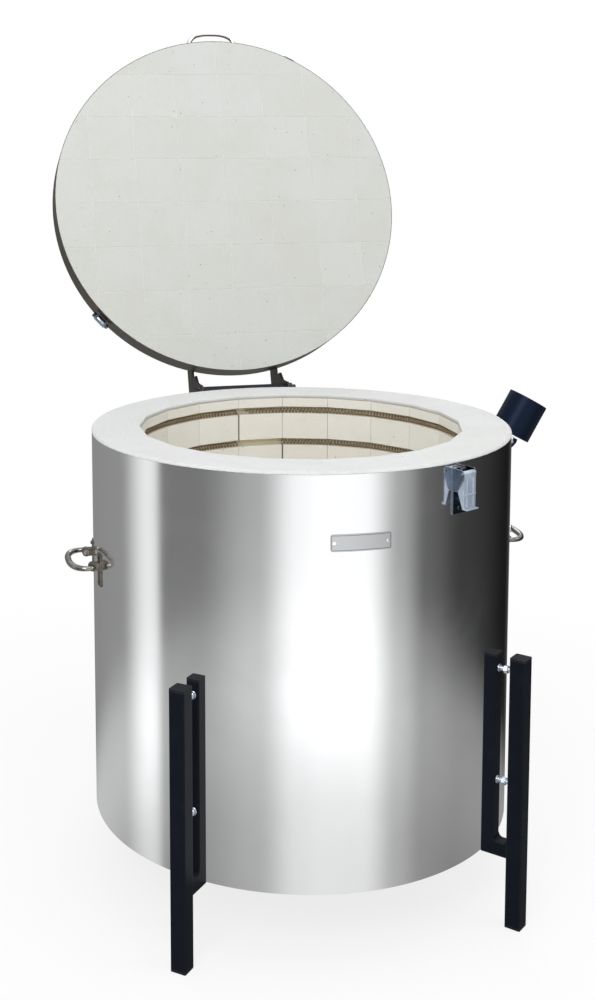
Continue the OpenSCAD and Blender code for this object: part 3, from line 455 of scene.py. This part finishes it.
finishes = {
    "jacket": polishedSteel(),
    "chrome": chrome(),
    "handle": plated("handleSteel", (0.20, 0.19, 0.175), (0.34, 0.33, 0.31), (0.80, 0.79, 0.77), 0.10),
    "zinc": plated("zincPlate", (0.30, 0.36, 0.45), (0.48, 0.54, 0.63), (0.85, 0.88, 0.92), 0.16),
    "latch": plated("latchPlate", (0.062, 0.088, 0.130), (0.13, 0.175, 0.24), (0.80, 0.85, 0.92), 0.16),
    "wall": fireBrick("wallBrick", (0.94, 0.93, 0.875), (0.91, 0.89, 0.815), (0.74, 0.655, 0.51), wallCell),
    "lid": fireBrick("lidBrick", (0.635, 0.655, 0.640), (0.61, 0.62, 0.585), (0.52, 0.50, 0.43),
                     lidCell, 0.0005),
    "rim": fireBrick("rimCoat", (0.775, 0.79, 0.79), (0.745, 0.755, 0.745), (0.60, 0.59, 0.55), None, 0.0012),
    "board": whiteFibre("fibreBoard", (0.86, 0.85, 0.81), (0.76, 0.74, 0.68)),
    "fibre": whiteFibre("fibreBlanket", (0.92, 0.92, 0.90), (0.82, 0.81, 0.78)),
    "porcelain": fireBrick("leadPorcelain", (0.86, 0.83, 0.75), (0.80, 0.75, 0.65), (0.6, 0.55, 0.45),
                           None, 0.0002),
    "wire": resistanceWire(),
    "leg": satinPaint("legPaint", (0.004, 0.006, 0.011), (0.008, 0.012, 0.019), 0.36),
    "plastic": satinPaint("blackPlastic", (0.012, 0.013, 0.016), (0.022, 0.023, 0.027), 0.46),
    "vent": satinPaint("ventBlack", (0.006, 0.012, 0.028), (0.010, 0.018, 0.038), 0.30, 0.5),
    "sheet": satinPaint("coverGrey", (0.11, 0.11, 0.12), (0.16, 0.16, 0.165), 0.45),
    "hinge": darkSteel("hingeSteel", (0.068, 0.073, 0.088), (0.125, 0.134, 0.155), 0.42),
    "arm": darkSteel("armSteel", (0.060, 0.052, 0.044), (0.13, 0.115, 0.095), 0.40),
    "black": darkSteel("blackSteel", (0.02, 0.02, 0.022), (0.06, 0.06, 0.065), 0.35, 0.6),
    "eye": darkSteel("eyeSteel", (0.12, 0.107, 0.088), (0.27, 0.245, 0.205), 0.30, 1.0),
    "band": darkSteel("bandSteel", (0.085, 0.070, 0.050), (0.18, 0.155, 0.120), 0.30, 1.0),
    "lever": darkSteel("leverSteel", (0.40, 0.47, 0.57), (0.62, 0.69, 0.78), 0.30, 0.4),
    "plate": plateMetal(barePlate),
}
print(len(finishes), "finishes made")

dress = {
    "jacket": ["jacket"],
    "chrome": ["jacket_bolts", "lid_handle", "nameplate_screws"],
    "handle": ["side_handle_left", "side_handle_right"],
    "latch": ["latch_base", "latch_claw", "lid_keeper", "band_clamp"],
    "lever": ["latch_lever"],
    "zinc": ["leg_bolts", "cover_screws", "arm_screws"],
    "wall": ["wall_course_top", "wall_course_middle", "wall_course_bottom", "floor_slab"],
    "lid": ["lid_slab"],
    "rim": ["rim_coat"],
    "board": ["floor_board"],
    "fibre": ["fibre_blanket"],
    "porcelain": ["lead_sleeves", "terminal_block", "thermocouple"],
    "leg": ["leg_front_left", "leg_front_right", "leg_rear_left", "leg_rear_right"],
    "plastic": ["leg_caps", "foot_caps", "cable_gland"],
    "vent": ["vent_tube", "vent_bracket"],
    "sheet": ["terminal_cover", "base_pan"],
    "hinge": ["hinge_base"],
    "arm": ["hinge_arm_left", "hinge_arm_right"],
    "black": ["hinge_pin"],
    "eye": ["handle_eyes_left", "handle_eyes_right"],
    "band": ["lid_band", "lid_cover"],
    "plate": ["nameplate"],
    "wire": ["heating_coil_%d" % n for n in range(1, 10)],
}
for finish, names in dress.items():
    for name in names:
        for slot in nodes[name].material_slots:
            slot.material = finishes[finish]
for name in dress["leg"] + dress["plastic"] + ["leg_bolts"]:
    nodes[name].visible_glossy = False  # the jacket in the photograph shows no legs
print("solids dressed")


# gives a node tree's result as a plain mesh object at the origin
def grow(name, tree, inputs):
    seed = bpy.data.objects.new(name + "Seed", bpy.data.meshes.new(name + "Seed"))
    scene.collection.objects.link(seed)
    mod = seed.modifiers.new("grow", "NODES")
    mod.node_group = tree
    known = {item.name: item.identifier for item in tree.interface.items_tree if item.in_out == "INPUT"}
    for label, value in inputs.items():
        mod[known[label]] = value
    evaluated = seed.evaluated_get(bpy.context.evaluated_depsgraph_get())
    mesh = bpy.data.meshes.new_from_object(evaluated)
    mesh.name = name
    piece = bpy.data.objects.new(name, mesh)
    scene.collection.objects.link(piece)
    seed.modifiers.remove(mod)
    bpy.data.objects.remove(seed)
    return piece


def startTree(name, inputs):
    tree = bpy.data.node_groups.new(name, "GeometryNodeTree")
    for label, kind in inputs:
        tree.interface.new_socket(label, in_out="INPUT", socket_type=kind)
    tree.interface.new_socket("Geometry", in_out="OUTPUT", socket_type="NodeSocketGeometry")
    m = Maker(tree)
    start = tree.nodes.new("NodeGroupInput")
    given = {label: Wire(tree, start.outputs[label]) for label, _ in inputs}
    return m, given


def endTree(m, geometry, material):
    real = m.put("GeometryNodeRealizeInstances", None, {"Geometry": geometry})
    done = m.put("GeometryNodeSetMaterial", {}, {"Geometry": real, "Material": material})
    end = m.tree.nodes.new("NodeGroupOutput")
    m.tree.links.new(done.socket, end.inputs[0])
    return m.tree


# wound heating wire along its groove
coil = {"pathRadius": 0.31936, "curlRadius": 0.0044, "wireRadius": 0.0011, "turns": 268, "steps": 14,
        "firstGroove": 0.8415, "groovePitch": 0.070, "belowGroove": 0.0018, "oddGap": 4.0, "evenGap": 18.0,
        "endAngle": 99.0, "sides": 6}


def coilTree():
    m, given = startTree("woundWire", [
        ("Path radius", "NodeSocketFloat"), ("Curl radius", "NodeSocketFloat"),
        ("Wire radius", "NodeSocketFloat"), ("Turns", "NodeSocketFloat"),
        ("Start angle", "NodeSocketFloat"), ("Sweep", "NodeSocketFloat"),
        ("Height", "NodeSocketFloat"), ("Points", "NodeSocketInt"), ("Sides", "NodeSocketInt"),
        ("Wire finish", "NodeSocketMaterial")])
    line = m.put("GeometryNodeCurvePrimitiveLine", None, {})
    path = m.put("GeometryNodeResampleCurve", None, {"Curve": line, "Count": given["Points"]})
    share = m.put("GeometryNodeSplineParameter")
    angle = given["Start angle"] + given["Sweep"] * share
    phase = given["Turns"] * share * (2 * math.pi)
    radius = given["Path radius"] + given["Curl radius"] * phase.maths("COSINE")
    place = m.put("ShaderNodeCombineXYZ", None, {
        "X": radius * angle.maths("COSINE"), "Y": radius * angle.maths("SINE"),
        "Z": given["Height"] + given["Curl radius"] * phase.maths("SINE")})
    wound = m.put("GeometryNodeSetPosition", None, {"Geometry": path, "Position": place})
    section = m.put("GeometryNodeCurvePrimitiveCircle", None, {
        "Resolution": given["Sides"], "Radius": given["Wire radius"]})
    tube = m.put("GeometryNodeCurveToMesh", None, {
        "Curve": wound, "Profile Curve": section, "Fill Caps": True})
    soft = m.put("GeometryNodeSetShadeSmooth", None, {"Geometry": tube})
    return endTree(m, soft, given["Wire finish"])


def windCoils(v):
    tree = coilTree()
    for n in range(9):
        gap = v["oddGap"] if n % 2 == 0 else v["evenGap"]
        piece = grow("woundCoil%d" % (n + 1), tree, {
            "Path radius": v["pathRadius"], "Curl radius": v["curlRadius"], "Wire radius": v["wireRadius"],
            "Turns": float(v["turns"]), "Start angle": math.radians(v["endAngle"] - gap),
            "Sweep": -math.radians(360 - gap),
            "Height": v["firstGroove"] - n * v["groovePitch"] - v["belowGroove"],
            "Points": v["turns"] * v["steps"], "Sides": v["sides"], "Wire finish": finishes["wire"]})
        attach(piece, "kiln_body")
        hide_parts("heating_coil_%d" % (n + 1))


windCoils(coil)
print("coils wound")


# smoothed white coat on the rim, with a crumbled outer edge that spills over the jacket's lip
rim = {"top": 0.876, "bottom": 0.868, "lip": 0.8702, "flat": 0.309, "sides": 20, "outer": 0.4034,
       "spill": 0.4050, "sag": 0.00025, "grit": 0.0005, "skin": 0.0002, "edge": 0.0042, "rough": 0.0015,
       "around": 1440}


def coatTheRim(v):
    bm = bmesh.new()
    half = math.pi / v["sides"]
    rings = []
    for k in range(v["around"]):
        a = 2 * math.pi * k / v["around"]
        side = (a + math.pi / 2 + half) % (2 * half) - half
        inner = v["flat"] / math.cos(side)
        out = Vector((math.cos(a), math.sin(a), 0))
        lump = noise.noise(out * 26) + 0.7 * noise.noise(out * 80) + 0.8 * noise.noise(out * 190)
        crumb = noise.noise(out * 330 + Vector((1, 2, 3)))
        dent = max(0.0, noise.noise(out * 60 + Vector((3, 5, 7))) - 0.22) * 3
        spill = v["spill"] + v["rough"] * (0.35 * lump + 0.45 * crumb - 0.5 * dent)
        e = v["edge"] * (1 + 0.35 * lump - 0.25 * crumb)
        profile = [(inner, v["bottom"]), (inner, v["top"] - 0.0012), (inner + 0.0006, v["top"] - 0.0003),
                   (inner + 0.0016, v["top"])]
        width = spill - e - inner
        for s in (0.12, 0.3, 0.5, 0.7, 0.86, 0.95):
            p = out * (inner + width * s)
            profile.append((inner + width * s, v["top"] - v["sag"] * (1 + noise.noise(p * 30))))
        drop = v["top"] - v["lip"] - v["skin"]
        for turn in (0, 15, 30, 45, 60, 75, 90):
            t = math.radians(turn)
            grit = v["grit"] * noise.noise(out * 240 + Vector((0, 0, turn)))
            height = v["top"] - v["skin"] - drop * (1 - math.cos(t)) + grit
            profile.append((spill - e + e * math.sin(t) + grit, height))
        profile += [(v["outer"], v["lip"]), (v["outer"], v["bottom"])]
        rings.append([bm.verts.new(out * r + Vector((0, 0, z))) for r, z in profile])
    count = len(rings[0])
    for k in range(v["around"]):
        one, two = rings[k], rings[(k + 1) % v["around"]]
        for j in range(count):
            bm.faces.new((one[j], one[(j + 1) % count], two[(j + 1) % count], two[j]))
    bmesh.ops.recalc_face_normals(bm, faces=bm.faces)
    mesh = bpy.data.meshes.new("rimTop")
    bm.to_mesh(mesh)
    bm.free()
    mesh.shade_smooth()
    mesh.materials.append(finishes["rim"])
    piece = bpy.data.objects.new("rimTop", mesh)
    scene.collection.objects.link(piece)
    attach(piece, "kiln_body")
    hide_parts("rim_coat")


coatTheRim(rim)
print("rim coated")


# a round bar along a path of places and radii that lies in one plane
def addBar(bm, path, across, sides=20):
    rings = []
    for k, (place, radius) in enumerate(path):
        along = path[min(k + 1, len(path) - 1)][0] - path[max(k - 1, 0)][0]
        aside = along.cross(across).normalized()
        turns = [2 * math.pi * n / sides for n in range(sides)]
        spokes = [aside * math.cos(t) + across * math.sin(t) for t in turns]
        rings.append([bm.verts.new(place + spoke * radius) for spoke in spokes])
    for one, two in zip(rings, rings[1:]):
        for n in range(sides):
            bm.faces.new((one[n], one[(n + 1) % sides], two[(n + 1) % sides], two[n]))
    bm.faces.new(rings[0])
    bm.faces.new(rings[-1])


def settle(name, bm, finish, body, replaced=None):
    bmesh.ops.recalc_face_normals(bm, faces=bm.faces)
    mesh = bpy.data.meshes.new(name)
    bm.to_mesh(mesh)
    bm.free()
    mesh.shade_smooth()
    mesh.set_sharp_from_angle(angle=math.radians(40))
    mesh.materials.append(finishes[finish])
    piece = bpy.data.objects.new(name, mesh)
    scene.collection.objects.link(piece)
    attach(piece, body)
    if replaced:
        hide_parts(replaced)


# a bow from one foot to the other: shares of its half width and of its height, and how far round it is
def bowShares(steps, square):
    for k in range(steps + 1):
        t = math.pi * k / steps
        across = math.copysign(abs(math.cos(t)) ** square, math.cos(t))
        yield across, math.sin(t) ** square if 0 < k < steps else 0.0, math.sin(t)


# side handles: round bails, thicker in the grip, whose ends turn in through the eyes
bail = {"pivot": 0.416, "height": 0.632, "inner": 0.042, "half": 0.0620, "bend": 0.006, "reach": 0.0398,
        "rod": 0.0046, "grip": 0.0060, "square": 0.8, "steps": 56}


def bendBails(v):
    plan = [(0, v["inner"], v["rod"])]
    for turn in range(0, 90, 15):
        t = math.radians(turn)
        plan.append((v["bend"] * (1 - math.cos(t)), v["half"] - v["bend"] * (1 - math.sin(t)), v["rod"]))
    bend = [(out, -along, radius) for out, along, radius in reversed(plan)]
    for across, rise, swell in bowShares(v["steps"], v["square"]):
        plan.append((v["bend"] + (v["reach"] - v["bend"]) * rise, v["half"] * across,
                     v["rod"] + (v["grip"] - v["rod"]) * swell))
    plan += bend
    for side, name in ((-1, "left"), (1, "right")):
        bm = bmesh.new()
        path = [(Vector((side * (v["pivot"] + out), along, v["height"])), radius)
                for out, along, radius in plan]
        addBar(bm, path, Vector((0, 0, 1)), 24)
        settle("roundBail" + name.title(), bm, "handle", "handle_" + name, "side_handle_" + name)


bendBails(bail)
print("bails bent")

# lid fittings are laid out with the lid shut, then swung open with it
swing = Matrix.Translation((0, lidPlate["hingeY"], lidPlate["hingeZ"]))
swing = swing @ Matrix.Rotation(-math.radians(lidPlate["opened"]), 4, "X") @ swing.inverted()
lidBow = {"half": 0.0565, "out": 0.0323, "rod": 0.0055, "foot": 0.0085, "footHeight": 0.0065, "band": 0.4048,
          "middle": 0.9075, "square": 0.75, "steps": 48}
clampBarrel = {"azimuth": -131, "axis": 0.4139, "half": 0.0108, "radius": 0.0076, "middle": 0.9075}


def fitTheLid(bow, barrel):
    upright = swing.to_3x3() @ Vector((0, 0, 1))
    base = math.sqrt(bow["band"] ** 2 - bow["half"] ** 2) - bow["band"]
    bm = bmesh.new()
    path = []
    for across, rise, _ in bowShares(bow["steps"], bow["square"]):
        out = -bow["band"] - base - (bow["out"] - base) * rise
        path.append((swing @ Vector((bow["half"] * across, out, bow["middle"])), bow["rod"]))
    addBar(bm, path, upright, 24)
    for side in (-1, 1):
        foot = [(swing @ Vector((side * bow["half"], -bow["band"] - base - out, bow["middle"])), radius)
                for out, radius in ((-0.0012, bow["foot"]), (bow["footHeight"] * 0.7, bow["foot"]),
                                    (bow["footHeight"], bow["foot"] * 0.8))]
        addBar(bm, foot, upright, 24)
    settle("lidBow", bm, "chrome", "lid", "lid_handle")
    bm = bmesh.new()
    turned = swing @ Matrix.Rotation(math.radians(barrel["azimuth"]), 4, "Z")
    ends = ((-1, 0.9), (-0.85, 1), (0.85, 1), (1, 0.9))
    addBar(bm, [(turned @ Vector((barrel["half"] * share, -barrel["axis"], barrel["middle"])),
                 barrel["radius"] * size) for share, size in ends], upright)
    settle("clampBarrel", bm, "zinc", "lid")


fitTheLid(lidBow, clampBarrel)
print("lid fitted")


# bare plate bent to the jacket, and its two screws
def layThePlate(v):
    def spot(radius, along, height):
        turn = (v["aside"] + along) / v["outer"]
        return Vector((radius * math.sin(turn), -radius * math.cos(turn), height))

    bm = bmesh.new()
    columns = []
    for k in range(v["columns"] + 1):
        along = v["width"] * (k / v["columns"] - 0.5)
        into = max(0.0, v["corner"] - (v["width"] / 2 - abs(along)))
        half = v["height"] / 2 - v["corner"] + math.sqrt(max(0.0, v["corner"] ** 2 - into ** 2))
        corners = ((v["outer"], 1), (v["outer"], -1), (v["inner"], -1), (v["inner"], 1))
        columns.append([bm.verts.new(spot(radius, along, v["middle"] + half * up)) for radius, up in corners])
    for one, two in zip(columns, columns[1:]):
        for n in range(4):
            bm.faces.new((one[n], one[(n + 1) % 4], two[(n + 1) % 4], two[n]))
    bm.faces.new(columns[0])
    bm.faces.new(columns[-1])
    settle("jacketPlate", bm, "plate", "kiln_body", "nameplate")
    bm = bmesh.new()
    for side in (-1, 1):
        along = side * (v["width"] / 2 - v["screwIn"])
        stack = ((v["inner"], 1), (v["outer"] + 0.0001, 1), (v["screwTop"], 0.7))
        addBar(bm, [(spot(radius, along, v["middle"]), v["screwRadius"] * size) for radius, size in stack],
               Vector((0, 0, 1)))
    settle("plateScrews", bm, "chrome", "kiln_body", "nameplate_screws")


layThePlate(barePlate)
print("plate laid")

# pressed ribs and cross bar on the latch's lever
leverRibs = {"azimuth": 27, "face": 0.4301, "aside": 0.0080, "top": 0.847, "bottom": 0.796, "rib": 0.0018,
             "barHeight": 0.818, "barHalf": 0.0135}


def ribTheLever(v):
    turn = Matrix.Rotation(math.radians(v["azimuth"]), 3, "Z")
    bm = bmesh.new()
    for side in (-1, 1):
        addBar(bm, [(turn @ Vector((side * v["aside"], -v["face"], height)), v["rib"])
                    for height in (v["top"], v["bottom"])], turn @ Vector((1, 0, 0)), 16)
    addBar(bm, [(turn @ Vector((side * v["barHalf"], -v["face"], v["barHeight"])), v["rib"])
                for side in (-1, 1)], Vector((0, 0, 1)), 16)
    settle("leverRibs", bm, "lever", "latch_lever")


ribTheLever(leverRibs)
print("lever ribbed")

# threads of the leg bolts, between the inner tube and the outer post
thread = {"radius": 0.0040, "ridge": 0.0004, "pitch": 0.00125, "start": 0.4326, "end": 0.4530, "lower": 0.269,
          "apart": 0.210, "legs": (-41, 41, -139, 139), "steps": 12}


def threadTree():
    m, given = startTree("boltThread", [
        ("Radius", "NodeSocketFloat"), ("Ridge", "NodeSocketFloat"), ("Pitch", "NodeSocketFloat"),
        ("Start", "NodeSocketFloat"), ("Length", "NodeSocketFloat"), ("Lower", "NodeSocketFloat"),
        ("Apart", "NodeSocketVector"), ("Facing", "NodeSocketVector"), ("Points", "NodeSocketInt"),
        ("Metal", "NodeSocketMaterial")])
    line = m.put("GeometryNodeCurvePrimitiveLine", None, {})
    path = m.put("GeometryNodeResampleCurve", None, {"Curve": line, "Count": given["Points"]})
    share = m.put("GeometryNodeSplineParameter")
    turn = share * given["Length"] / given["Pitch"] * (2 * math.pi)
    place = m.put("ShaderNodeCombineXYZ", None, {
        "X": given["Radius"] * turn.maths("COSINE"), "Y": 0 - (given["Start"] + given["Length"] * share),
        "Z": given["Lower"] + given["Radius"] * turn.maths("SINE")})
    helix = m.put("GeometryNodeSetPosition", None, {"Geometry": path, "Position": place})
    section = m.put("GeometryNodeCurvePrimitiveCircle", None, {"Resolution": 5, "Radius": given["Ridge"]})
    ridge = m.put("GeometryNodeCurveToMesh", None, {
        "Curve": helix, "Profile Curve": section, "Fill Caps": True})
    spots = m.put("GeometryNodeMeshLine", None, {"Count": 2, "Offset": given["Apart"]})
    both = m.put("GeometryNodeInstanceOnPoints", None, {"Points": spots, "Instance": ridge})
    turned = m.put("GeometryNodeTransform", None, {"Geometry": both, "Rotation": given["Facing"]})
    return endTree(m, turned, given["Metal"])


def cutThreads(v):
    tree = threadTree()
    length = v["end"] - v["start"]
    for n, az in enumerate(v["legs"]):
        piece = grow("boltThreads%d" % (n + 1), tree, {
            "Radius": v["radius"], "Ridge": v["ridge"], "Pitch": v["pitch"], "Start": v["start"],
            "Length": length, "Lower": v["lower"], "Apart": (0, 0, v["apart"]),
            "Facing": (0, 0, math.radians(az)),
            "Points": int(length / v["pitch"] * v["steps"]), "Metal": finishes["zinc"]})
        piece.visible_glossy = False
        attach(piece, "kiln_body")


cutThreads(thread)
print("threads cut")
